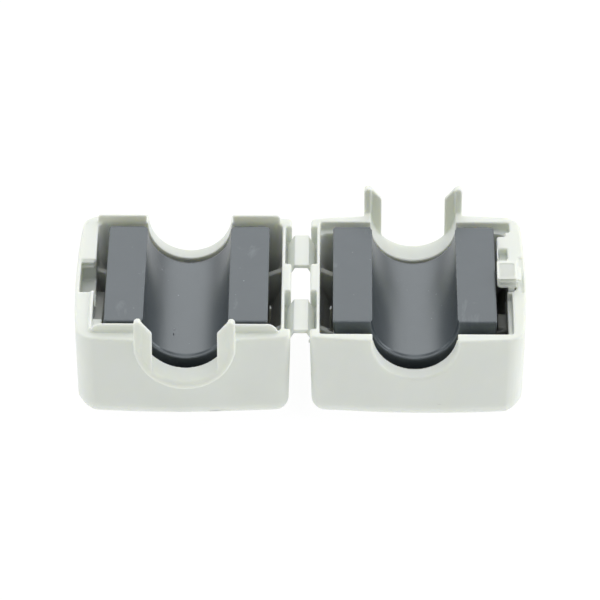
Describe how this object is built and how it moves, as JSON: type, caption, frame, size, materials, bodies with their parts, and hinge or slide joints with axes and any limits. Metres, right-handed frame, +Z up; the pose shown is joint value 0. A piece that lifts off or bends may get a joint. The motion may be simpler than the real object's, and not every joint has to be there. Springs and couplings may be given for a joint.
{
  "type": "clip-on ferrite bead",
  "caption": "Split ferrite core in a hinged plastic case that clips around a cable, shown lying open with both half channels up.",
  "frame": {"origin": "on the surface the open bead lies on, midway between its two half cases and midway along the cable direction", "axes": "+X from the catch half across the hinge straps to the latch half, +Y along the cable towards the latch half's collar, +Z up out of the open channels"},
  "size_m": [0.0718, 0.0418, 0.0192],
  "materials": {
    "case_plastic": "satin",
    "ferrite": "matte"
  },
  "bodies": {
    "catch_half": {"catch_half_shell": "case_plastic"},
    "catch_webs": {"front_strap_catch_web": "case_plastic", "rear_strap_catch_web": "case_plastic"},
    "bridges": {"front_strap_bridge": "case_plastic", "rear_strap_bridge": "case_plastic"},
    "latch_webs": {"front_strap_latch_web": "case_plastic", "rear_strap_latch_web": "case_plastic"},
    "latch_half": {"latch_half_shell": "case_plastic"},
    "latch_arm": {"latch_hook": "case_plastic"},
    "catch_core": {"catch_ferrite_half": "ferrite"},
    "latch_core": {"latch_ferrite_half": "ferrite"}
  },
  "joints": [
    {"name": "fold_latch", "type": "hinge", "parent": "bridges", "child": "latch_half", "pos_m": [0.00165, 0, 0.0131], "axis": [0, -1, 0], "range_deg": [0, 90]},
    {"name": "fold_catch", "type": "hinge", "parent": "bridges", "child": "catch_half", "pos_m": [-0.00165, 0, 0.0131], "axis": [0, 1, 0], "range_deg": [0, 90]},
    {"name": "latch_web_lean", "type": "hinge", "parent": "latch_half", "child": "latch_webs", "pos_m": [0.00205, 0, 0.01163], "axis": [0, 1, 0], "range_deg": [0, 30.51]},
    {"name": "catch_web_lean", "type": "hinge", "parent": "catch_half", "child": "catch_webs", "pos_m": [-0.00205, 0, 0.01163], "axis": [0, -1, 0], "range_deg": [0, 30.51]},
    {"name": "latch_flex", "type": "hinge", "parent": "latch_half", "child": "latch_arm", "pos_m": [0.03345, 0, 0.00915], "axis": [0, -1, 0], "range_deg": [-1.2, 1.8], "stiffness_Nm_per_rad": 0.05},
    {"name": "catch_core_float", "type": "slide", "parent": "catch_half", "child": "catch_core", "axis": [0, 0, -1], "range_m": [0, 0.00057]},
    {"name": "latch_core_float", "type": "slide", "parent": "latch_half", "child": "latch_core", "axis": [0, 0, -1], "range_m": [0, 0.00057]}
  ],
  "couplings": [
    {"joint": "fold_catch", "follows": "fold_latch", "ratio": 1},
    {"joint": "catch_web_lean", "follows": "fold_latch", "ratio": 0.339},
    {"joint": "latch_web_lean", "follows": "fold_latch", "ratio": 0.339},
    {"joint": "catch_core_float", "follows": "fold_latch", "m_per_rad": 0.00036287},
    {"joint": "latch_core_float", "follows": "fold_latch", "m_per_rad": 0.00036287}
  ]
}
